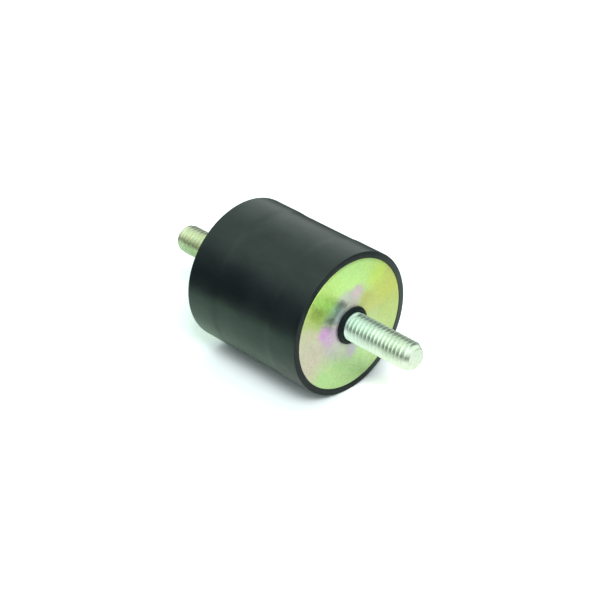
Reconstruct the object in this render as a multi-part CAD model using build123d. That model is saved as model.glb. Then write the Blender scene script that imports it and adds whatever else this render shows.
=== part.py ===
from build123d import *
import os

os.makedirs("parts", exist_ok=True)

# Bobbin vibration mount: a rubber cylinder bonded between two steel end plates,
# with a headed threaded stud standing out of the middle of each plate.
# Millimetres. The axis of the mount is X, the front stud points along +X, and
# the origin is the middle of the rubber body, so the mount lies on its side.

# ---- rubber body ----
body_diameter = 40.0         # over the full-size land at each end
body_length = 40.0           # end face to end face, without the beads
land_length = 9.0            # full-size rubber around each plate and stud head
waist_depth = 0.15           # radial hollow of the rubber at mid-length
lip_width = 1.8              # rubber around the rim of each plate
rim_chamfer = 0.2            # outer corner of each end

# ---- end plates ----
plate_thickness = 2.0
plate_recess = 0.05          # how far a plate's face lies below the rubber lip
plate_back_chamfer = 0.5     # bond chamfer on the hidden back edge
hole_clearance = 0.9         # rubber between the stud's neck and the plate's hole

# ---- rubber bead around the root of each stud ----
bead_width = 1.7             # from the stud's neck to the widest part of the bead
bead_height = 1.5            # above the plate's face
bead_flare_height = 0.7      # underside, flaring from the plate's hole to the edge
bead_edge_thickness = 0.15   # blunt edge at the widest part
bead_land_width = 0.6        # flat on top, from the stud's neck outwards

# ---- studs ----
stud_diameter = 7.9          # major diameter of the M8 thread, as plated
stud_length = 23.0           # beyond the end face of the rubber
neck_depth = 0.35            # radial undercut of the shank between head and thread
nose_length = 1.1            # plain tip beyond the thread
nose_depth = 0.55            # radial, from the thread's crest down to the nose
nose_taper = 0.5             # radial, over the length of the nose
head_overlap = 3.0           # how far the head reaches behind the edge of the hole
head_thickness = 2.4
head_chamfer = 0.4
head_cover = 0.6             # rubber between the head and the plate

# ---- places along +X and radii that follow from them ----
end_x = body_length / 2
plate_front_x = end_x - plate_recess
plate_back_x = plate_front_x - plate_thickness
head_front_x = plate_back_x - head_cover
head_back_x = head_front_x - head_thickness
bead_top_x = plate_front_x + bead_height
bead_edge_x = plate_front_x + bead_flare_height
stud_tip_x = end_x + stud_length
nose_start_x = stud_tip_x - nose_length

body_radius = body_diameter / 2
plate_radius = body_radius - lip_width
stud_radius = stud_diameter / 2
neck_radius = stud_radius - neck_depth
hole_radius = neck_radius + hole_clearance
head_radius = hole_radius + head_overlap
bead_radius = neck_radius + bead_width
bead_land_radius = neck_radius + bead_land_width
nose_radius = stud_radius - nose_depth


def at_rear(shape):
    """The same piece at the other end: half a turn about Z."""
    return Rot(0, 0, 180) * shape


def end_plate():
    """Blanked steel disc with a clearance hole for the stud."""
    with BuildPart() as plate:
        with BuildSketch(Plane.YZ.offset(plate_back_x)):
            Circle(plate_radius)
            Circle(hole_radius, mode=Mode.SUBTRACT)
        extrude(amount=plate_thickness)
        back_rim = plate.edges().group_by(Axis.X)[0].sort_by(SortBy.RADIUS)[-1]
        chamfer(back_rim, plate_back_chamfer)
    return plate.part


def stud():
    """Headed stud: round head in the rubber, necked shank, threaded length outside."""
    with BuildPart() as piece:
        with BuildSketch(Plane.XY):
            with BuildLine():
                Polyline(
                    (head_back_x, 0),
                    (head_back_x, head_radius - head_chamfer),
                    (head_back_x + head_chamfer, head_radius),
                    (head_front_x - head_chamfer, head_radius),
                    (head_front_x, head_radius - head_chamfer),
                    (head_front_x, neck_radius),
                    (bead_top_x, neck_radius),
                    (bead_top_x, stud_radius),
                    (nose_start_x - nose_depth, stud_radius),
                    (nose_start_x, nose_radius),
                    (stud_tip_x, nose_radius - nose_taper),
                    (stud_tip_x, 0),
                    close=True,
                )
            make_face()
        revolve(axis=Axis.X)
    return piece.part


def body_blank():
    """Outer form of the rubber, recessed at both ends down to the plate faces."""
    land_end_x = end_x - land_length
    with BuildPart() as blank:
        with BuildSketch(Plane.XY):
            with BuildLine():
                Polyline(
                    (land_end_x, body_radius),
                    (end_x - rim_chamfer, body_radius),
                    (end_x, body_radius - rim_chamfer),
                    (end_x, plate_radius),
                    (plate_front_x, plate_radius),
                    (plate_front_x, 0),
                    (-plate_front_x, 0),
                    (-plate_front_x, plate_radius),
                    (-end_x, plate_radius),
                    (-end_x, body_radius - rim_chamfer),
                    (-end_x + rim_chamfer, body_radius),
                    (-land_end_x, body_radius),
                )
                ThreePointArc(
                    (-land_end_x, body_radius),
                    (0, body_radius - waist_depth),
                    (land_end_x, body_radius),
                )
            make_face()
        revolve(axis=Axis.X)
    return blank.part


def root_bead():
    """Mushroomed bead: it leaves the plate's hole, flares out, and slopes up to the stud."""
    with BuildPart() as bead:
        with BuildSketch(Plane.XY):
            with BuildLine():
                Polyline(
                    (plate_front_x, 0),
                    (plate_front_x, hole_radius),
                    (bead_edge_x, bead_radius),
                    (bead_edge_x + bead_edge_thickness, bead_radius),
                    (bead_top_x, bead_land_radius),
                    (bead_top_x, 0),
                    close=True,
                )
            make_face()
        revolve(axis=Axis.X)
    return bead.part


def rubber_body():
    """One moulding: it fills the plates' holes, wraps the heads and forms the beads."""
    body = body_blank() + root_bead() + at_rear(root_bead())
    for metal in (end_plate(), stud()):
        body = body - metal - at_rear(metal)
    return body


nodes = {
    "rubber_body": rubber_body(),
    "front_plate": end_plate(),
    "rear_plate": at_rear(end_plate()),
    "front_stud": stud(),
    "rear_stud": at_rear(stud()),
}

for name, solid in nodes.items():
    export_step(solid, f"parts/{name}.step")
    print(name, len(solid.solids()), "solid,", round(solid.volume, 1), "mm3")
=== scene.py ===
"""Looks of a bobbin vibration mount that lies on its side.

A black rubber cylinder has a passivated steel plate sunk into each end.
A zinc-plated threaded stud stands out of each plate through a rubber bead.
Lengths are in metres, and the axis of the mount is X.
"""
import math

import bpy
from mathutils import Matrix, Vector, noise


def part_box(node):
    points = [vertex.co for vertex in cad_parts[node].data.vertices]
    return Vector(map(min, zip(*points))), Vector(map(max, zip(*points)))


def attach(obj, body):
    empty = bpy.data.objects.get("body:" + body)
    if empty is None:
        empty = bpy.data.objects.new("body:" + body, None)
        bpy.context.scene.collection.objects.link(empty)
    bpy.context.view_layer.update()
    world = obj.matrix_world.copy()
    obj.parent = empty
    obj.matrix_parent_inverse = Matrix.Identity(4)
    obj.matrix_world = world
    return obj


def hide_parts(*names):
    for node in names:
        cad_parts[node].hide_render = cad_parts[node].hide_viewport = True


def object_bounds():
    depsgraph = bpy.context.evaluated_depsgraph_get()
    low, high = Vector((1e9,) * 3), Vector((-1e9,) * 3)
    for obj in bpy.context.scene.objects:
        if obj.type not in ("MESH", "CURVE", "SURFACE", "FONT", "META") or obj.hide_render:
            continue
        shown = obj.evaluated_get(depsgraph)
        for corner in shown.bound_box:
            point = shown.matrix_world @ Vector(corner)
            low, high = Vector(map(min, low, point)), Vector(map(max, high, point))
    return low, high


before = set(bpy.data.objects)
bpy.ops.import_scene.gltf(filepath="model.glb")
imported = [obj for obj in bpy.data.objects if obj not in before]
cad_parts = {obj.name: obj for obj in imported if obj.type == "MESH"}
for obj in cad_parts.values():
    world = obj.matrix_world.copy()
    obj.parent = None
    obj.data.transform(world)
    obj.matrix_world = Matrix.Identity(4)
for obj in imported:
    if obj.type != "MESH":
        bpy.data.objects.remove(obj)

MM = 0.001
CAD_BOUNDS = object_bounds()
BODY = "root"

# ---------------------------------------------------------------- sizes
RUBBER_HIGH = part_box("rubber_body")[1]
PLATE_LOW, PLATE_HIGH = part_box("front_plate")
STUD_LOW, STUD_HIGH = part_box("front_stud")

BODY_RADIUS = RUBBER_HIGH.z
BEAD_TOP_X = RUBBER_HIGH.x
PLATE_FRONT_X = PLATE_HIGH.x
PLATE_BACK_X = PLATE_LOW.x
PLATE_RADIUS = PLATE_HIGH.z
HEAD_BACK_X = STUD_LOW.x
STUD_TIP_X = STUD_HIGH.x
HEAD_RADIUS = STUD_HIGH.z
FIT_GAP = 0.01 * MM

# The rubber: its side, its end faces and the lip around each plate.
PLATE_RECESS = 0.05 * MM
END_X = PLATE_FRONT_X + PLATE_RECESS
RIM_ROUND = 0.22 * MM
LIP_ROUND = 0.10 * MM
LIP_WALL_X = PLATE_FRONT_X - 0.1 * MM
LAND_LENGTH = 9.0 * MM
WAIST_DEPTH = 0.15 * MM
WAIST_SLOPE = 2.2 * MM
SIDE_STEP = 0.8 * MM
SLOW_WAVE_DEPTH = 0.035 * MM
SLOW_WAVE_SCALE = 55.0
QUICK_WAVE_DEPTH = 0.010 * MM
QUICK_WAVE_SCALE = 210.0

# The bead: it flares out of the plate's hole to a blunt edge, and its crown dips to the stud.
HOLE_RADIUS = 4.5 * MM
BEAD_RADIUS = 5.30 * MM
BEAD_FLARE = 0.70 * MM
BEAD_EDGE = 0.15 * MM
BEAD_EDGE_ROUND = 0.04 * MM
BEAD_LAND = 0.42 * MM
BEAD_BULGE = 0.16 * MM
BEAD_UNDERCUT = 0.12 * MM
BEAD_DIP_X = BEAD_TOP_X - 0.35 * MM
BEAD_NECK_X = BEAD_DIP_X - 0.35 * MM
CROWN_STEPS = 8

# The plate.
PLATE_EDGE_ROUND = 0.14 * MM
PLATE_BACK_CHAMFER = 0.5 * MM
PLATE_WAVE_DEPTH = 0.012 * MM
PLATE_WAVE_SCALE = 90.0
PLATE_STEPS = 14

# The stud: head, neck, collar, thread and nose.
NECK_RADIUS = 3.6 * MM
NECK_END_X = BEAD_DIP_X - 0.45 * MM
HEAD_FRONT_X = HEAD_BACK_X + 2.4 * MM
HEAD_CHAMFER = 0.4 * MM
STUD_RADIUS = 3.95 * MM
PITCH = 1.25 * MM
THREAD_DEPTH = 0.56 * PITCH
ROOT_RADIUS = STUD_RADIUS - THREAD_DEPTH
COLLAR_RADIUS = 3.92 * MM
COLLAR_START_X = BEAD_DIP_X - 0.15 * MM
COLLAR_END_X = BEAD_TOP_X - 0.20 * MM
FULL_THREAD_X = BEAD_TOP_X + 1.05 * MM
NOSE_START_X = STUD_TIP_X - 1.1 * MM
NOSE_ROUND = 0.22 * MM
NOSE_BLUNT = 0.04 * MM
THREAD_END_X = STUD_TIP_X - NOSE_ROUND - 0.05 * MM
# Each nose has three points (distance from the tip, radius): its start, its knee and its end.
FRONT_NOSE = ((1.75 * MM, 3.95 * MM), (1.10 * MM, 3.40 * MM), (0.0, 2.90 * MM))
REAR_NOSE = ((1.20 * MM, 3.95 * MM), (0.80 * MM, 3.75 * MM), (0.0, 3.40 * MM))
# The end face is slightly hollow: (depth below the tip, share of its radius).
TIP_HOLLOW = ((0.02 * MM, 0.75), (0.05 * MM, 0.45), (0.06 * MM, 0.0))
# Half a crest: (share of a pitch from its middle, share of the thread's depth).
HALF_CREST = (
    (0.0, 0.0),
    (0.018, 0.010),
    (0.042, 0.055),
    (0.090, 0.175),
    (0.165, 0.390),
    (0.260, 0.680),
    (0.330, 0.870),
    (0.405, 0.970),
)

# Points around each piece.
AROUND_BODY = 288
AROUND_PLATE = 288
AROUND_STUD = 128

# The thread is laid out over some turns more than show, of which two lie before the collar.
SPARE_TURNS = 6
TURNS_BEFORE = 2
SAME_PLACE = 1e-7


# ---------------------------------------------------------------- mesh helpers
def arc(centre, radius, start, stop, steps):
    """Points (x, r) on an arc in the section plane, angles in degrees from +x towards +r."""
    points = []
    for i in range(steps + 1):
        angle = math.radians(start + (stop - start) * i / steps)
        x = centre[0] + radius * math.cos(angle)
        r = centre[1] + radius * math.sin(angle)
        points.append((x, r))
    return points


def smooth_step(value):
    """Eases a value from 0 to 1, and holds it there."""
    value = min(max(value, 0.0), 1.0)
    return value * value * (3.0 - 2.0 * value)


def wave(place, scale, shift):
    """Smooth noise from 0 to 1."""
    return 0.5 + 0.5 * noise.noise(place * scale + Vector(shift))


def turned_point(x, r, angle):
    """The point at radius r from the X axis, with angle 0 at +Y and a quarter turn at +Z."""
    return (x, r * math.cos(angle), r * math.sin(angle))


def add_ring(vertices, x, r, around, ripple=None):
    """Adds a ring of points, or one point on the axis, and gives the ring's indices."""
    first = len(vertices)
    if r == 0.0:
        vertices.append((x, 0.0, 0.0))
        return [first] * around
    for i in range(around):
        angle = 2.0 * math.pi * i / around
        dx, dr = ripple(x, r, angle) if ripple else (0.0, 0.0)
        vertices.append(turned_point(x + dx, r + dr, angle))
    return list(range(first, first + around))


def add_face(faces, corners):
    """Adds a face without its repeated corners, unless fewer than three are left."""
    face = list(dict.fromkeys(corners))
    if len(face) > 2:
        faces.append(face)


def mesh_object(name, vertices, faces):
    """A smooth-shaded object in the scene."""
    mesh = bpy.data.meshes.new(name)
    mesh.from_pydata(vertices, [], faces)
    mesh.validate()
    mesh.polygons.foreach_set("use_smooth", [True] * len(mesh.polygons))
    mesh.update()
    made = bpy.data.objects.new(name, mesh)
    bpy.context.scene.collection.objects.link(made)
    return made


def lathe(name, outline, around, closed=False, ripple=None):
    """Turns an outline of (x, r) points about X.

    An open outline starts and ends on the axis. A closed one is a ring section.
    ripple(x, r, angle) gives a small change of (x, r) at a point.
    """
    vertices = []
    rings = [add_ring(vertices, x, r, around, ripple) for x, r in outline]
    pairs = list(zip(rings, rings[1:]))
    if closed:
        pairs.append((rings[-1], rings[0]))
    faces = []
    for lower, upper in pairs:
        for i in range(around):
            j = (i + 1) % around
            add_face(faces, (lower[i], upper[i], upper[j], lower[j]))
    return mesh_object(name, vertices, faces)


def sharpen(piece, degrees):
    """Keeps edges sharper than the angle crisp, and shades the rest smooth."""
    piece.data.set_sharp_from_angle(angle=math.radians(degrees))


# ---------------------------------------------------------------- rubber
def body_radius_at(x):
    """The outer radius: full over the plates, and a hair smaller between them."""
    inner = END_X - LAND_LENGTH
    away = (abs(x) - inner + WAIST_SLOPE) / WAIST_SLOPE
    return BODY_RADIUS - WAIST_DEPTH * (1.0 - smooth_step(away))


def head_pocket():
    """Around the stud's head, from the axis at its back to the neck at its front."""
    back = HEAD_BACK_X - FIT_GAP
    front = HEAD_FRONT_X + FIT_GAP
    return [
        (back, 0.0),
        (back, HEAD_RADIUS * 0.5),
        (back, HEAD_RADIUS - HEAD_CHAMFER),
        (HEAD_BACK_X + HEAD_CHAMFER, HEAD_RADIUS + FIT_GAP),
        (HEAD_FRONT_X - HEAD_CHAMFER, HEAD_RADIUS + FIT_GAP),
        (front, HEAD_RADIUS - HEAD_CHAMFER),
        (front, NECK_RADIUS),
    ]


def bead_inside():
    """Along the neck and the collar, and out of the dip up to the crown."""
    return [
        (PLATE_FRONT_X, NECK_RADIUS),
        (BEAD_NECK_X, NECK_RADIUS),
        (COLLAR_START_X, COLLAR_RADIUS + FIT_GAP),
        (BEAD_DIP_X, COLLAR_RADIUS + 0.02 * MM),
        (BEAD_TOP_X - 0.16 * MM, COLLAR_RADIUS + 0.14 * MM),
        (BEAD_TOP_X - 0.04 * MM, COLLAR_RADIUS + 0.27 * MM),
    ]


def bead_crown():
    """From the land around the dip over the domed slope and the blunt edge to the underside."""
    edge_back_x = PLATE_FRONT_X + BEAD_FLARE
    edge_front_x = edge_back_x + BEAD_EDGE
    land_radius = COLLAR_RADIUS + BEAD_LAND
    points = [(BEAD_TOP_X, land_radius)]
    for i in range(1, CROWN_STEPS):
        share = i / CROWN_STEPS
        lift = BEAD_BULGE * math.sin(math.pi * share)
        x = BEAD_TOP_X + (edge_front_x - BEAD_TOP_X) * share + lift
        r = land_radius + (BEAD_RADIUS - land_radius) * share + lift * 0.5
        points.append((min(x, BEAD_TOP_X), r))
    points.append((edge_front_x + 0.01 * MM, BEAD_RADIUS - BEAD_EDGE_ROUND))
    points.append((edge_front_x - BEAD_EDGE * 0.5, BEAD_RADIUS))
    points.append((edge_back_x, BEAD_RADIUS - BEAD_EDGE_ROUND))
    points.append((edge_back_x - BEAD_UNDERCUT, BEAD_RADIUS - 0.2 * MM))
    return points


def plate_seat():
    """Down through the plate's hole, behind the plate and up its rim to the lip."""
    back = PLATE_BACK_X - FIT_GAP
    wall = PLATE_RADIUS + FIT_GAP
    points = [
        (PLATE_FRONT_X + 0.05 * MM, HOLE_RADIUS),
        (PLATE_FRONT_X, HOLE_RADIUS - FIT_GAP),
        (back, HOLE_RADIUS - FIT_GAP),
        (back, PLATE_RADIUS * 0.5),
        (back, wall),
        (LIP_WALL_X, wall),
    ]
    points += arc((END_X - LIP_ROUND, wall + LIP_ROUND), LIP_ROUND, -90, 0, 5)
    return points


def body_side():
    """Over the end face and the rounded rim, and along the side to the middle."""
    points = [(END_X, (PLATE_RADIUS + BODY_RADIUS) / 2)]
    points += arc((END_X - RIM_ROUND, BODY_RADIUS - RIM_ROUND), RIM_ROUND, 0, 90, 8)
    x = END_X - RIM_ROUND
    while x > SIDE_STEP:
        x -= SIDE_STEP
        points.append((x, body_radius_at(x)))
    return points


def rubber_ripple(x, r, angle):
    """Slow unevenness of the moulding, inwards only, so the outer size holds. The seats stay true."""
    on_body = r > PLATE_RADIUS + 0.3 * MM
    on_bead = HOLE_RADIUS < r < BEAD_RADIUS + 0.1 * MM and abs(x) > PLATE_FRONT_X
    if not (on_body or on_bead):
        return 0.0, 0.0
    place = Vector(turned_point(x, r, angle))
    slow = wave(place, SLOW_WAVE_SCALE, (0.0, 0.0, 0.0))
    quick = wave(place, QUICK_WAVE_SCALE, (7.0, 1.0, 3.0))
    return 0.0, -SLOW_WAVE_DEPTH * slow - QUICK_WAVE_DEPTH * quick


def make_rubber():
    """The moulding: a half section from the axis to the middle of the side, and its mirror image."""
    half = head_pocket() + bead_inside() + bead_crown() + plate_seat() + body_side()
    other = [(-x, r) for x, r in reversed(half)]
    piece = lathe("rubber_moulding", half + other, AROUND_BODY, ripple=rubber_ripple)
    sharpen(piece, degrees=40)
    return piece


# ---------------------------------------------------------------- plates
def plate_outline():
    """A ring section: the hole, the face, the rounded front edge and the chamfered back edge."""
    outer = PLATE_RADIUS - PLATE_EDGE_ROUND
    points = [(PLATE_BACK_X, HOLE_RADIUS)]
    for i in range(PLATE_STEPS):
        points.append((PLATE_FRONT_X, HOLE_RADIUS + (outer - HOLE_RADIUS) * i / PLATE_STEPS))
    points += arc((PLATE_FRONT_X - PLATE_EDGE_ROUND, outer), PLATE_EDGE_ROUND, 0, 90, 5)
    points.append((PLATE_BACK_X + PLATE_BACK_CHAMFER, PLATE_RADIUS))
    points.append((PLATE_BACK_X, PLATE_RADIUS - PLATE_BACK_CHAMFER))
    points.append((PLATE_BACK_X, PLATE_RADIUS * 0.6))
    return points


def plate_ripple(x, r, angle):
    """The punched face isn't quite flat. It only sinks, so the box holds."""
    if x < PLATE_FRONT_X or r > PLATE_RADIUS - 0.2 * MM:
        return 0.0, 0.0
    place = Vector((r * math.cos(angle), r * math.sin(angle), 0.0))
    return -PLATE_WAVE_DEPTH * wave(place, PLATE_WAVE_SCALE, (2.0, 5.0, 1.0)), 0.0


def make_plate(name):
    """The front plate. turn_to_rear() makes it the rear one."""
    piece = lathe(name, plate_outline(), AROUND_PLATE, closed=True, ripple=plate_ripple)
    sharpen(piece, degrees=35)
    return piece


# ---------------------------------------------------------------- studs
def thread_turn():
    """One pitch from root to root: shares of the pitch, and the depth there, 0 at the crest."""
    rising = [(-place, depth) for place, depth in reversed(HALF_CREST[1:])]
    return [(-0.5, 1.0)] + rising + list(HALF_CREST)


def thread_share(x):
    """How far the thread has grown at x: 0 on the collar, 1 from the first full turn."""
    return smooth_step((x - COLLAR_END_X) / (FULL_THREAD_X - COLLAR_END_X))


def crest_radius(x):
    """Radius of the crests: the collar swells into the first turn of the thread."""
    return COLLAR_RADIUS + (STUD_RADIUS - COLLAR_RADIUS) * thread_share(x)


def root_radius(x):
    """Radius at the bottom of the groove, which fades in behind the collar."""
    return COLLAR_RADIUS + (ROOT_RADIUS - COLLAR_RADIUS) * thread_share(x)


def nose_radius(x, nose):
    """Radius of the turned-down end that cuts off the last turns."""
    outer, knee, end = nose
    back = STUD_TIP_X - x
    if back > knee[0]:
        return knee[1] + (outer[1] - knee[1]) * (back - knee[0]) / (outer[0] - knee[0])
    return end[1] + (knee[1] - end[1]) * back / knee[0]


def stud_radius(x, depth, nose):
    """The thread, cut off by the nose with a slightly blunt edge between the two."""
    crest = crest_radius(x)
    thread = crest - (crest - root_radius(x)) * depth
    limit = nose_radius(x, nose)
    share = min(max(0.5 + 0.5 * (limit - thread) / NOSE_BLUNT, 0.0), 1.0)
    return limit + (thread - limit) * share - NOSE_BLUNT * share * (1.0 - share)


def thread_column(vertices, i, turn, nose):
    """Indices of the points along the stud at angle number i, from the collar to the nose.

    The thread moves on by a pitch in a full turn. A point that would lie past an end is that end's
    point instead, so that all columns are equally long.
    """
    angle = 2.0 * math.pi * i / AROUND_STUD
    low = len(vertices)
    high = low + 1
    vertices.append(turned_point(COLLAR_START_X, crest_radius(COLLAR_START_X), angle))
    vertices.append(turned_point(THREAD_END_X, nose_radius(THREAD_END_X, nose), angle))
    turns = int((THREAD_END_X - COLLAR_START_X) / PITCH) + SPARE_TURNS
    column = []
    for k in range(turns):
        for place, depth in turn:
            x = COLLAR_START_X + PITCH * (k - TURNS_BEFORE + i / AROUND_STUD + place)
            if x <= COLLAR_START_X + SAME_PLACE:
                column.append(low)
            elif x >= THREAD_END_X - SAME_PLACE:
                column.append(high)
            else:
                column.append(len(vertices))
                vertices.append(turned_point(x, stud_radius(x, depth, nose), angle))
    return column


def add_end(vertices, faces, ring, outline, rearwards):
    """Carries a ring on along (x, r) points, of which the last is on the axis."""
    for x, r in outline:
        new = add_ring(vertices, x, r, AROUND_STUD)
        lower, upper = (new, ring) if rearwards else (ring, new)
        for i in range(AROUND_STUD):
            j = (i + 1) % AROUND_STUD
            add_face(faces, (lower[i], lower[j], upper[j], upper[i]))
        ring = new


def make_stud(name, nose):
    """The front stud, closed: flat head, neck, collar, right-hand thread and smooth nose."""
    turn = thread_turn()
    vertices = []
    columns = [thread_column(vertices, i, turn, nose) for i in range(AROUND_STUD)]
    shift = len(turn)
    full_turn = columns[0][shift:] + [columns[0][-1]] * shift
    faces = []
    for here, there in zip(columns, columns[1:] + [full_turn]):
        for m in range(len(here) - 1):
            add_face(faces, (here[m], there[m], there[m + 1], here[m + 1]))
    towards_head = [
        (BEAD_DIP_X - 0.20 * MM, COLLAR_RADIUS - 0.02 * MM),
        (NECK_END_X, NECK_RADIUS),
        (HEAD_FRONT_X, NECK_RADIUS),
        (HEAD_FRONT_X, HEAD_RADIUS - HEAD_CHAMFER),
        (HEAD_FRONT_X - HEAD_CHAMFER, HEAD_RADIUS),
        (HEAD_BACK_X + HEAD_CHAMFER, HEAD_RADIUS),
        (HEAD_BACK_X, HEAD_RADIUS - HEAD_CHAMFER),
        (HEAD_BACK_X, HEAD_RADIUS * 0.5),
        (HEAD_BACK_X, 0.0),
    ]
    add_end(vertices, faces, [column[0] for column in columns], towards_head, True)
    tip_radius = nose[2][1]
    towards_tip = arc((STUD_TIP_X - NOSE_ROUND, tip_radius - NOSE_ROUND), NOSE_ROUND, 70, 0, 6)
    towards_tip += [(STUD_TIP_X - depth, tip_radius * share) for depth, share in TIP_HOLLOW]
    add_end(vertices, faces, [column[-1] for column in columns], towards_tip, False)
    piece = mesh_object(name, vertices, faces)
    sharpen(piece, degrees=50)
    return piece


def turn_to_rear(piece):
    """A half turn about Z, which keeps a right-hand thread right-handed."""
    for vertex in piece.data.vertices:
        vertex.co.x = -vertex.co.x
        vertex.co.y = -vertex.co.y
    piece.data.update()


# ---------------------------------------------------------------- node helpers
class Recipe:
    """The node tree of a material or a world, with short calls for the nodes that they share."""

    def __init__(self, owner, output="ShaderNodeOutputMaterial", coordinates="Object"):
        self.owner = owner
        owner.use_nodes = True
        self.tree = owner.node_tree
        self.tree.nodes.clear()
        self.output = self.node(output)
        self.place = self.node("ShaderNodeTexCoord").outputs[coordinates]

    def put(self, socket, value):
        """Gives a socket another node's output, a number, a vector or a colour of three channels."""
        if isinstance(value, bpy.types.NodeSocket):
            self.tree.links.new(value, socket)
        elif socket.type == "RGBA":
            socket.default_value = (*value, 1.0)
        else:
            socket.default_value = value

    def node(self, kind, inputs=None, **settings):
        """A node with its settings and, by name or number, what its sockets get."""
        made = self.tree.nodes.new(kind)
        for key, value in settings.items():
            setattr(made, key, value)
        for key, value in (inputs or {}).items():
            self.put(made.inputs[key], value)
        return made

    def surface(self, shader):
        """Sends a shader to the output, and gives the material or world."""
        self.put(self.output.inputs["Surface"], shader)
        return self.owner

    def math(self, operation, *values):
        inputs = dict(enumerate(values))
        return self.node("ShaderNodeMath", inputs, operation=operation).outputs[0]

    def split(self, vector):
        return self.node("ShaderNodeSeparateXYZ", {0: vector}).outputs

    def length(self, vector):
        made = self.node("ShaderNodeVectorMath", {0: vector}, operation="LENGTH")
        return made.outputs["Value"]

    def scaled(self, scale, shift=(0.0, 0.0, 0.0)):
        """The place, scaled along each axis and then shifted."""
        inputs = {"Vector": self.place, "Scale": scale, "Location": shift}
        return self.node("ShaderNodeMapping", inputs).outputs["Vector"]

    def noise(self, scale, detail, rough, vector=None, output="Fac"):
        """Noise with its scale, octaves and roughness, as a number or as a colour."""
        where = self.place if vector is None else vector
        inputs = {"Vector": where, "Scale": scale, "Detail": detail, "Roughness": rough}
        return self.node("ShaderNodeTexNoise", inputs).outputs[output]

    def span(self, value, source, target, curve="LINEAR"):
        """Carries a value from the source range over to the target range, and holds it inside."""
        inputs = {
            "Value": value,
            "From Min": source[0],
            "From Max": source[1],
            "To Min": target[0],
            "To Max": target[1],
        }
        made = self.node("ShaderNodeMapRange", inputs, clamp=True, interpolation_type=curve)
        return made.outputs["Result"]

    def fade(self, value, source, target):
        """A span with soft ends."""
        return self.span(value, source, target, "SMOOTHSTEP")

    def ramp(self, value, stops):
        """Colours along a value from 0 to 1, as stops (position, colour)."""
        made = self.node("ShaderNodeValToRGB", {"Fac": value})
        elements = made.color_ramp.elements
        while len(elements) > 1:
            elements.remove(elements[-1])
        elements[0].position = stops[0][0]
        elements[0].color = (*stops[0][1], 1.0)
        for position, colour in stops[1:]:
            elements.new(position).color = (*colour, 1.0)
        return made.outputs["Color"]

    def mix(self, factor, first, second, blend="MIX"):
        """Colours: sockets 6 and 7 are the two of the node's colour mode, and output 2 its result."""
        inputs = {"Factor": factor, 6: first, 7: second}
        return self.node("ShaderNodeMix", inputs, data_type="RGBA", blend_type=blend).outputs[2]

    def bump(self, height, distance, strength, normal=None):
        inputs = {"Height": height, "Distance": distance, "Strength": strength}
        if normal is not None:
            inputs["Normal"] = normal
        return self.node("ShaderNodeBump", inputs).outputs["Normal"]

    def principled(self, inputs):
        return self.node("ShaderNodeBsdfPrincipled", inputs).outputs["BSDF"]

    def diffuse(self, colour):
        return self.node("ShaderNodeBsdfDiffuse", {"Color": colour}).outputs[0]

    def background(self, colour, strength):
        inputs = {"Color": colour, "Strength": strength}
        return self.node("ShaderNodeBackground", inputs).outputs[0]

    def choose(self, factor, first, second):
        """The first shader where the factor is 0, and the second where it is 1."""
        return self.node("ShaderNodeMixShader", {0: factor, 1: first, 2: second}).outputs[0]


RISE = (0.0, 1.0)
FALL = (1.0, 0.0)
MOST = (0.3, 0.7)  # the range that holds most values of a noise
ACROSS_ONLY = (0.0, 1.0, 1.0)  # a scale that leaves a place only its distance from the axis
WHITE = (1.0, 1.0, 1.0)


# ---------------------------------------------------------------- rubber finish
RUBBER_DARK = (0.0030, 0.0048, 0.0075)
RUBBER_PALE = (0.0065, 0.0100, 0.0130)
RUBBER_SHEEN = (0.78, 1.0, 0.88)

# Shine as a share of the side's. On the end faces it changes towards +Y, along a slightly leaning line.
LIP_LEAN = -0.2
LIP_CHANGE = (5.0 * MM, 17.0 * MM)
LIP_SHINE = (0.46, 1.35)
BEAD_SHINE = 0.65


def rubber_finish():
    """Black moulded rubber: satin, slightly green where it shines, with patchy bloom.

    The beads shine less than the side does. So do the end faces, except towards +Y, where they
    shine more.
    """
    r = Recipe(bpy.data.materials.new("black_rubber"))
    x, y, z = r.split(r.place)
    beyond = r.math("ABSOLUTE", x)
    patches = r.noise(75.0, 4.0, 0.55)
    drift = r.noise(38.0, 2.0, 0.5, r.scaled((0.6, 1.0, 1.0), (3.0, 1.0, 2.0)))
    mottle = r.noise(210.0, 4.0, 0.6, r.scaled((0.7, 1.0, 1.0), (5.0, 2.0, 8.0)))
    pores = r.noise(900.0, 4.0, 0.6)
    grain = r.noise(2600.0, 3.0, 0.6)
    colour = r.ramp(patches, [(0.30, RUBBER_DARK), (0.72, RUBBER_PALE)])
    rough = r.math("ADD", r.span(patches, MOST, (0.30, 0.38)), r.span(drift, MOST, (-0.03, 0.03)))
    drifting = r.span(drift, (0.25, 0.75), (0.50, 0.58))
    shine = r.math("ADD", drifting, r.span(mottle, MOST, (-0.07, 0.07)))
    lip = r.span(r.math("MULTIPLY_ADD", z, LIP_LEAN, y), LIP_CHANGE, LIP_SHINE)
    on_face = r.span(beyond, (END_X - 0.12 * MM, END_X - 0.02 * MM), RISE)
    end_face = r.math("MULTIPLY_ADD", on_face, r.math("SUBTRACT", lip, 1.0), 1.0)
    bead = r.span(beyond, (END_X + 0.1 * MM, END_X + 0.4 * MM), (1.0, BEAD_SHINE))
    shine = r.math("MULTIPLY", shine, r.math("MULTIPLY", end_face, bead))
    coarse = r.bump(pores, 0.03 * MM, 0.35)
    fine = r.bump(grain, 0.012 * MM, 0.5, coarse)
    inputs = {
        "Base Color": colour,
        "Roughness": rough,
        "Specular IOR Level": shine,
        "Specular Tint": RUBBER_SHEEN,
        "IOR": 1.5,
        "Normal": fine,
    }
    return r.surface(r.principled(inputs))


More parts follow.
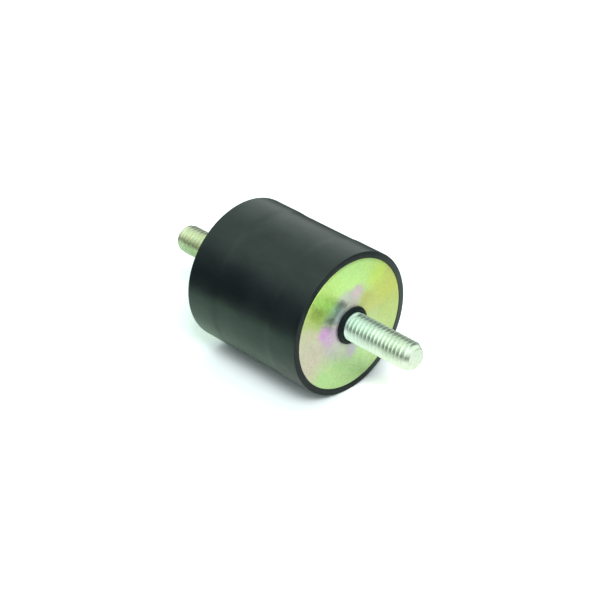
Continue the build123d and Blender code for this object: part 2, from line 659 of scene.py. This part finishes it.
# ---------------------------------------------------------------- plate finish
def tone(red, green, blue, gain=1.0):
    """A colour as seen, 0 to 255 a channel, as linear light by the sRGB curve."""
    linear = []
    for value in (red, green, blue):
        value = value / 255.0
        low = value / 12.92
        high = ((value + 0.055) / 1.055) ** 2.4
        linear.append(gain * (low if value <= 0.04045 else high))
    return tuple(linear)


# Tones of the film by angle in degrees, 0 at +Y and 90 at the top, near the rim and nearer the bead.
# From 222 to 335 degrees, at the bottom, they are painted lighter, as painted light against the shade
# in the floor that the plate mirrors there.
PLATE_GAIN = 1.03
RIM_TONES = (
    (0, (190, 206, 128)),
    (20, (197, 206, 112)),
    (38, (198, 212, 118)),
    (50, (200, 228, 130)),
    (72, (199, 238, 150)),
    (95, (200, 242, 152)),
    (118, (204, 240, 144)),
    (128, (222, 249, 150)),
    (142, (230, 249, 150)),
    (152, (198, 214, 130)),
    (161, (188, 202, 138)),
    (168, (204, 203, 172)),
    (184, (208, 202, 184)),
    (206, (210, 201, 184)),
    # From here to 335 degrees the tones are painted lighter, against mirrored shade.
    (226, (202, 220, 172)),
    (244, (194, 226, 162)),
    (270, (194, 224, 164)),
    (295, (198, 230, 166)),
    (335, (192, 214, 146)),
)
CORE_TONES = (
    (0, (190, 206, 144)),
    (18, (195, 204, 126)),
    (45, (186, 194, 126)),
    (58, (192, 202, 166)),
    (76, (204, 193, 190)),
    (94, (194, 196, 186)),
    (118, (206, 214, 196)),
    (140, (226, 240, 220)),
    (156, (210, 206, 196)),
    (166, (196, 184, 192)),
    (180, (208, 186, 212)),
    (198, (203, 189, 200)),
    # From here to 335 degrees the tones are painted lighter, against mirrored shade.
    (222, (196, 200, 190)),
    (246, (194, 206, 178)),
    (270, (190, 194, 188)),
    (290, (192, 210, 182)),
    (335, (190, 212, 152)),
)
# Soft blots: (place across and up in mm, radius in mm, tone, strength, lean in degrees, stretch). Most
# are colours of the film. The four grey ones near the bead at the upper left are painted reflection and
# shade of the bead and stud.
BLOTS_AND_PAINTED_SHADE = (
    ((-9.0, 1.2), 3.0, (210, 164, 216), 0.85, 0.0, 1.0),
    ((-7.6, -1.4), 2.6, (206, 176, 212), 0.6, 0.0, 1.0),
    ((2.4, 8.6), 2.8, (212, 190, 200), 0.7, 0.0, 1.0),
    ((5.6, 5.8), 2.6, (192, 190, 104), 0.5, 0.0, 1.0),
    ((9.5, 11.0), 3.6, (204, 232, 112), 0.6, 0.0, 1.0),
    ((-12.0, 7.2), 3.0, (184, 200, 96), 0.45, 0.0, 1.0),
    ((0.4, -8.2), 2.6, (198, 182, 208), 0.5, 0.0, 1.0),
    # The next four are painted reflection and shade of the bead and stud, not colours of the film.
    ((-4.4, 6.4), 1.6, (160, 172, 178), 0.5, 130.0, 1.7),
    ((-3.7, 4.3), 2.4, (146, 162, 168), 0.80, 42.0, 1.5),
    ((-2.6, 6.7), 1.2, (112, 104, 110), 0.55, 143.0, 2.2),
    ((-6.6, 4.1), 1.3, (104, 112, 100), 0.48, 148.0, 2.8),
    ((-9.6, -12.6), 3.4, (176, 226, 150), 0.5, 0.0, 1.0),
)
BLOT_HEART = 0.35  # share of a blot's radius that has its full strength
CORE_EDGE = (8.2 * MM, 12.0 * MM)  # radii between which the tones change
FILM_SWAY = 4.5 * MM  # how far the noise shifts them
DULL_EDGE = (5.8 * MM, 7.8 * MM)  # radii between which the dull film around the bead ends
DULL_METAL = (0.10, 1.0)


def sweep_stops(tones):
    """Turns tones by angle into stops along the radial sweep, which starts and ends at -Y."""
    stops = []
    for angle, colour in tones:
        share = (angle / 360.0 + 0.5) % 1.0
        stops.append((share, tone(*colour, gain=PLATE_GAIN)))
    stops.sort()
    first, last = stops[0], stops[-1]
    part = (1.0 - last[0]) / (1.0 - last[0] + first[0])
    seam = tuple(b + (a - b) * part for a, b in zip(first[1], last[1]))
    return [(0.0, seam)] + stops + [(1.0, seam)]


def film_and_painted_shade(r, across, up):
    """The tones and blots of the film, with painted reflection and shade near the bead, all swayed by
    one noise.
    """
    wander = r.split(r.noise(140.0, 4.0, 0.6, output="Color"))
    swayed = []
    for channel, place in zip(wander, (across, up)):
        swayed.append(r.math("MULTIPLY_ADD", r.math("SUBTRACT", channel, 0.5), FILM_SWAY, place))
    flat = r.node("ShaderNodeCombineXYZ", dict(enumerate(swayed))).outputs[0]
    sweep = r.node("ShaderNodeTexGradient", {0: flat}, gradient_type="RADIAL").outputs["Fac"]
    rim = r.ramp(sweep, sweep_stops(RIM_TONES))
    core = r.ramp(sweep, sweep_stops(CORE_TONES))
    film = r.mix(r.fade(r.length(flat), CORE_EDGE, FALL), rim, core)
    for place, radius, colour, strength, lean, stretch in BLOTS_AND_PAINTED_SHADE:
        inputs = {
            "Vector": flat,
            "Location": (place[0] * MM, place[1] * MM, 0.0),
            "Rotation": (0.0, 0.0, math.radians(lean)),
            "Scale": (stretch, 1.0, 1.0),
        }
        local = r.node("ShaderNodeMapping", inputs, vector_type="TEXTURE").outputs[0]
        edge = (radius * BLOT_HEART * MM, radius * MM)
        cover = r.fade(r.length(local), edge, (strength, 0.0))
        film = r.mix(cover, film, tone(*colour, gain=PLATE_GAIN))
    return film


def plate_finish(name, turned):
    """Yellow-passivated zinc: green, ochre, cream and pink drift over the face, and the bottom is
    painted lighter against the shade that it mirrors.

    Around the bead the film is dull and hardly metallic, and grey blots at its upper left are painted
    reflection and shade of the bead and stud.
    """
    r = Recipe(bpy.data.materials.new(name))
    _, across, up = r.split(r.place)
    if turned:
        across = r.math("MULTIPLY", across, -1.0)
    # The film's colours include painted reflection and shade of the bead and stud near the hole.
    film = film_and_painted_shade(r, across, up)
    speckle = r.noise(420.0, 3.0, 0.55, r.scaled((1.0, 1.0, 1.0), (0.3, 0.9, 0.1)), output="Color")
    film = r.mix(0.16, film, speckle, "SOFT_LIGHT")
    grain = r.noise(900.0, 4.0, 0.6)
    cloud = r.noise(330.0, 4.0, 0.55)
    shade = r.math("ADD", r.span(grain, MOST, (0.95, 1.03)), r.span(cloud, MOST, (-0.05, 0.04)))
    grey = r.node("ShaderNodeCombineColor", {0: shade, 1: shade, 2: shade}).outputs[0]
    film = r.mix(1.0, film, grey, "MULTIPLY")
    metal = r.fade(r.length(r.scaled(ACROSS_ONLY)), DULL_EDGE, DULL_METAL)
    rough = r.math("ADD", r.span(cloud, MOST, (0.24, 0.31)), r.span(metal, DULL_METAL, (0.25, 0.0)))
    streak = r.noise(1.0, 3.0, 0.6, r.scaled((300.0, 260.0, 3600.0)))
    normal = r.bump(grain, 0.02 * MM, 0.2)
    normal = r.bump(streak, 0.006 * MM, 0.25, normal)
    inputs = {"Base Color": film, "Metallic": metal, "Roughness": rough, "Normal": normal}
    return r.surface(r.principled(inputs))


# ---------------------------------------------------------------- stud finish
# The third value is how strong the painted shade in the thread's roots is.
FRONT_ZINC = {"base": (0.79, 0.97, 0.87), "tip": (0.85, 0.96, 0.79), "root_shade": 0.35}
REAR_ZINC = {"base": (0.93, 0.96, 0.74), "tip": (0.93, 0.96, 0.76), "root_shade": 0.60}
FILM_DULL = (0.84, 0.87, 0.86)
# Colour of the painted shade in the thread's roots.
ROOT_SHADE_COLOUR = (0.34, 0.40, 0.33)
SCUFF_COLOUR = (0.55, 0.62, 0.58)
TINT_CHANGE = (22.0 * MM, 36.0 * MM)


def stud_finish(name, base, tip, root_shade):
    """Bright zinc on rolled steel, with one tint at the base and another at the tip.

    The roots of the thread are darkened with painted shade, and the end face is scuffed.
    """
    r = Recipe(bpy.data.materials.new(name))
    beyond = r.math("ABSOLUTE", r.split(r.place)[0])
    cloud = r.noise(260.0, 4.0, 0.55)
    grain = r.noise(2400.0, 3.0, 0.6)
    tint = r.mix(r.span(beyond, TINT_CHANGE, RISE), base, tip)
    film = r.ramp(cloud, [(0.3, FILM_DULL), (0.6, WHITE)])
    colour = r.mix(1.0, tint, film, "MULTIPLY")
    # Painted shade: the colour darkens towards the roots of the thread.
    root_edge = (ROOT_RADIUS + 0.06 * MM, ROOT_RADIUS + 0.24 * MM)
    groove = r.fade(r.length(r.scaled(ACROSS_ONLY)), root_edge, (root_shade, 0.0))
    before_nose = r.span(beyond, (NOSE_START_X - 0.3 * MM, NOSE_START_X), FALL)
    colour = r.mix(r.math("MULTIPLY", groove, before_nose), colour, ROOT_SHADE_COLOUR)
    scuffs = r.noise(1.0, 4.0, 0.6, r.scaled((500.0, 900.0, 2600.0)))
    marked = r.mix(r.span(scuffs, (0.35, 0.65), (0.0, 0.35)), colour, SCUFF_COLOUR)
    on_tip = r.span(beyond, (STUD_TIP_X - 0.15 * MM, STUD_TIP_X - 0.08 * MM), RISE)
    colour = r.mix(on_tip, colour, marked)
    rough = r.math("ADD", r.span(cloud, MOST, (0.37, 0.31)), r.span(grain, MOST, (-0.02, 0.03)))
    normal = r.bump(grain, 0.008 * MM, 0.35)
    inputs = {"Base Color": colour, "Metallic": 1.0, "Roughness": rough, "Normal": normal}
    return r.surface(r.principled(inputs))


# ---------------------------------------------------------------- pieces
rubber = make_rubber()
rubber.data.materials.append(rubber_finish())
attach(rubber, BODY)
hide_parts("rubber_body")

for end in ("front", "rear"):
    rear = end == "rear"
    plate = make_plate(end + "_disc")
    stud = make_stud(end + "_thread", REAR_NOSE if rear else FRONT_NOSE)
    if rear:
        turn_to_rear(plate)
        turn_to_rear(stud)
    zinc = REAR_ZINC if rear else FRONT_ZINC
    plate.data.materials.append(plate_finish(end + "_passivated_zinc", rear))
    stud.data.materials.append(stud_finish(end + "_bright_zinc", **zinc))
    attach(plate, BODY)
    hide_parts(end + "_plate")
    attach(stud, BODY)
    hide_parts(end + "_stud")

# ---------------------------------------------------------------- floor
FLOOR_SIDE = 30.0
FLOOR_ALBEDO = 0.86

# As the camera sees it: near the mount, and further off or right behind the front plate.
FLOOR_SEEN = (1.18, 1.27, 1.33)
FLOOR_SEEN_FAR = (1.64, 1.55, 1.64)
FAR_EDGE = (70.0 * MM, 250.0 * MM)
PAST_PLATE_X = (16.0 * MM, 26.0 * MM)
BEHIND_AXIS_Y = (-6.0 * MM, 4.0 * MM)

# As shiny surfaces mirror it: a white sheet, and what lies beyond it at the left and at the right.
SHEET_RIGHT = (0.93, 0.93, 0.93)
SHEET_LEFT = (0.74, 0.94, 0.81)
UNDER_BODY_X = (-2.0 * MM, 16.0 * MM)
SHEET_RIM = (70.0 * MM, 100.0 * MM)
BEYOND_LEFT = (0.08, 0.08, 0.08)
BEYOND_RIGHT = (0.42, 0.42, 0.42)
RIGHTWARD_X = (-40.0 * MM, 60.0 * MM)


def make_floor():
    """A pale floor, on which only the close shadow shows.

    Where the camera sees it, its colour is lifted, and most of all far off and right behind the front
    plate, so that wide soft shadows wash out. Shiny surfaces mirror a white sheet on it that ends a
    little way off, as on a small table, and that is a shade greener under the body than under the
    front stud.
    """
    half = FLOOR_SIDE / 2
    z = CAD_BOUNDS[0].z
    corners = [(-half, -half, z), (half, -half, z), (half, half, z), (-half, half, z)]
    floor = mesh_object("floor", corners, [(0, 1, 2, 3)])
    r = Recipe(bpy.data.materials.new("white_floor"))
    x, y, _ = r.split(r.place)
    away = r.length(r.scaled((1.0, 1.0, 0.0)))
    behind_plate = r.math("MULTIPLY", r.fade(x, PAST_PLATE_X, RISE), r.fade(y, BEHIND_AXIS_Y, RISE))
    lifted = r.math("MAXIMUM", r.fade(away, FAR_EDGE, RISE), behind_plate)
    seen = r.mix(lifted, FLOOR_SEEN, FLOOR_SEEN_FAR)
    sheet = r.mix(r.fade(x, UNDER_BODY_X, FALL), SHEET_RIGHT, SHEET_LEFT)
    beyond = r.mix(r.fade(x, RIGHTWARD_X, RISE), BEYOND_LEFT, BEYOND_RIGHT)
    mirrored = r.mix(r.fade(away, SHEET_RIM, RISE), sheet, beyond)
    plain = (FLOOR_ALBEDO, FLOOR_ALBEDO, FLOOR_ALBEDO)
    rays = r.node("ShaderNodeLightPath").outputs
    shader = r.choose(rays["Is Glossy Ray"], r.diffuse(plain), r.diffuse(mirrored))
    shader = r.choose(rays["Is Camera Ray"], shader, r.diffuse(seen))
    floor.data.materials.append(r.surface(shader))
    return floor


make_floor()

# ---------------------------------------------------------------- light
DOME_LEVEL = 0.90
DOME_TINT = (0.90, 1.00, 0.935)
DOME_SHARE = 0.78  # the share of its level at which the tent lights matt surfaces
BACK_GAIN = 0.22
RIGHT_GAIN = 1.60
ROOF_GAIN = 0.80
CORNER_DIM = 0.80
SIDE_DIM = 0.06
FRONT_LEFT_DARK = 0.03
FRONT_RIGHT_DARK = 0.22
FRONT_TOP_DROP = 0.20

# Soft edges of the tent's zones, along the x, y or z of the direction from the mount.
BACK_Y = (0.10, 0.60)
RIGHT_X = (0.78, 0.96)
RIGHT_BACK_Y = (0.20, 0.45)
RIGHT_FRONT_Y = (-0.50, -0.20)
CORNER_X = (0.15, 0.50)
CORNER_Y = (-0.45, -0.15)
SIDE_X = (0.00, 0.35)
SIDE_Y = (0.22, 0.66)
SIDE_TOP_Z = (0.35, 0.60)
FRONT_Y = (-0.62, -0.42)
FRONT_TOP_Z = (0.45, 0.66)
FRONT_DROP_X = (-0.60, -0.38)
FRONT_TURN_X = (-0.20, 0.20)
ROOF_DIRECTION = Vector((-0.15, -0.28, 0.95)).normalized()
ROOF_EDGE = (0.84, 0.97)  # cosine of the angle from the roof's direction

KEY_DIRECTION = Vector((0.62, -0.42, 0.86)).normalized()
KEY_DISTANCE = 1.2
KEY_SIDE = 0.42
KEY_POWER = 7.6
KEY_TINT = (1.00, 0.985, 0.94)


def make_world():
    """A white tent that is open low down: dark in front, and dim at the right behind the mount.

    It is brighter at the back, at the far right and overhead, and a little less bright in the
    corner at the right in front. The camera sees plain white instead.
    """
    world = bpy.data.worlds.new("white_tent")
    bpy.context.scene.world = world
    r = Recipe(world, "ShaderNodeOutputWorld", "Generated")
    x, y, z = r.split(r.place)
    rays = r.node("ShaderNodeLightPath").outputs

    def product(*values):
        """Multiplies any number of values."""
        total = values[0]
        for value in values[1:]:
            total = r.math("MULTIPLY", total, value)
        return total

    back = r.fade(y, BACK_Y, (DOME_LEVEL, DOME_LEVEL + BACK_GAIN))
    right_y = product(r.fade(y, RIGHT_FRONT_Y, RISE), r.fade(y, RIGHT_BACK_Y, FALL))
    right = product(r.fade(x, RIGHT_X, (0.0, RIGHT_GAIN)), right_y)
    corner = product(r.fade(x, CORNER_X, RISE), r.fade(y, CORNER_Y, FALL))
    inputs = {0: r.place, 1: ROOF_DIRECTION}
    roofward = r.node("ShaderNodeVectorMath", inputs, operation="DOT_PRODUCT").outputs["Value"]
    roof = r.fade(roofward, ROOF_EDGE, (0.0, ROOF_GAIN))
    front_top = r.math("ADD", z, r.fade(x, FRONT_DROP_X, (0.0, FRONT_TOP_DROP)))
    front = product(r.fade(y, FRONT_Y, FALL), r.fade(front_top, FRONT_TOP_Z, FALL))
    front_depth = r.fade(x, FRONT_TURN_X, (1.0 - FRONT_LEFT_DARK, 1.0 - FRONT_RIGHT_DARK))
    side = product(r.fade(y, SIDE_Y, RISE), r.fade(x, SIDE_X, RISE), r.fade(z, SIDE_TOP_Z, FALL))

    level = product(r.math("ADD", back, right), r.fade(corner, RISE, (1.0, CORNER_DIM)))
    level = product(r.math("ADD", level, roof), r.math("SUBTRACT", 1.0, product(front, front_depth)))
    level = product(level, r.fade(side, RISE, (1.0, SIDE_DIM)))
    level = product(level, r.fade(rays["Is Diffuse Ray"], RISE, (1.0, DOME_SHARE)))
    tent = r.background(DOME_TINT, level)
    r.surface(r.choose(rays["Is Camera Ray"], tent, r.background(WHITE, 1.0)))


def make_key():
    """A softbox high up at the right in front, which shiny surfaces don't mirror.

    It lights the floor close to the mount, so that the dark band of the shadow stays narrow.
    """
    data = bpy.data.lights.new("softbox", "AREA")
    data.shape = "SQUARE"
    data.size = KEY_SIDE
    data.energy = KEY_POWER
    data.color = KEY_TINT
    lamp = bpy.data.objects.new("softbox", data)
    bpy.context.scene.collection.objects.link(lamp)
    lamp.visible_glossy = False
    lamp.location = KEY_DIRECTION * KEY_DISTANCE
    lamp.rotation_mode = "QUATERNION"
    lamp.rotation_quaternion = (-KEY_DIRECTION).to_track_quat("-Z", "Y")


make_world()
make_key()

# ---------------------------------------------------------------- camera
VIEW_AZIMUTH = math.radians(45.70)
VIEW_ELEVATION = math.radians(31.38)
VIEW_DISTANCE = 0.52392
VIEW_SIDEWAYS = 1.119 * MM
VIEW_UPWARDS = -1.271 * MM
SENSOR_WIDTH_MM = 36.0
LENS_MM = 120.0
CLIP_NEAR = 0.01
CLIP_FAR = 100.0


def make_camera():
    """Looks along the line to the origin from the right in front, moved a little right and down."""
    flat = math.cos(VIEW_ELEVATION)
    back_x = math.sin(VIEW_AZIMUTH) * flat
    back_y = -math.cos(VIEW_AZIMUTH) * flat
    back = Vector((back_x, back_y, math.sin(VIEW_ELEVATION)))
    right = Vector((0.0, 0.0, 1.0)).cross(back).normalized()
    up = back.cross(right)
    data = bpy.data.cameras.new("view")
    data.sensor_width = SENSOR_WIDTH_MM
    data.lens = LENS_MM
    data.clip_start = CLIP_NEAR
    data.clip_end = CLIP_FAR
    camera = bpy.data.objects.new("view", data)
    bpy.context.scene.collection.objects.link(camera)
    camera.location = back * VIEW_DISTANCE + right * VIEW_SIDEWAYS + up * VIEW_UPWARDS
    camera.rotation_mode = "QUATERNION"
    camera.rotation_quaternion = (-back).to_track_quat("-Z", "Y")
    bpy.context.scene.camera = camera


make_camera()

bpy.context.scene.view_settings.view_transform = "Standard"
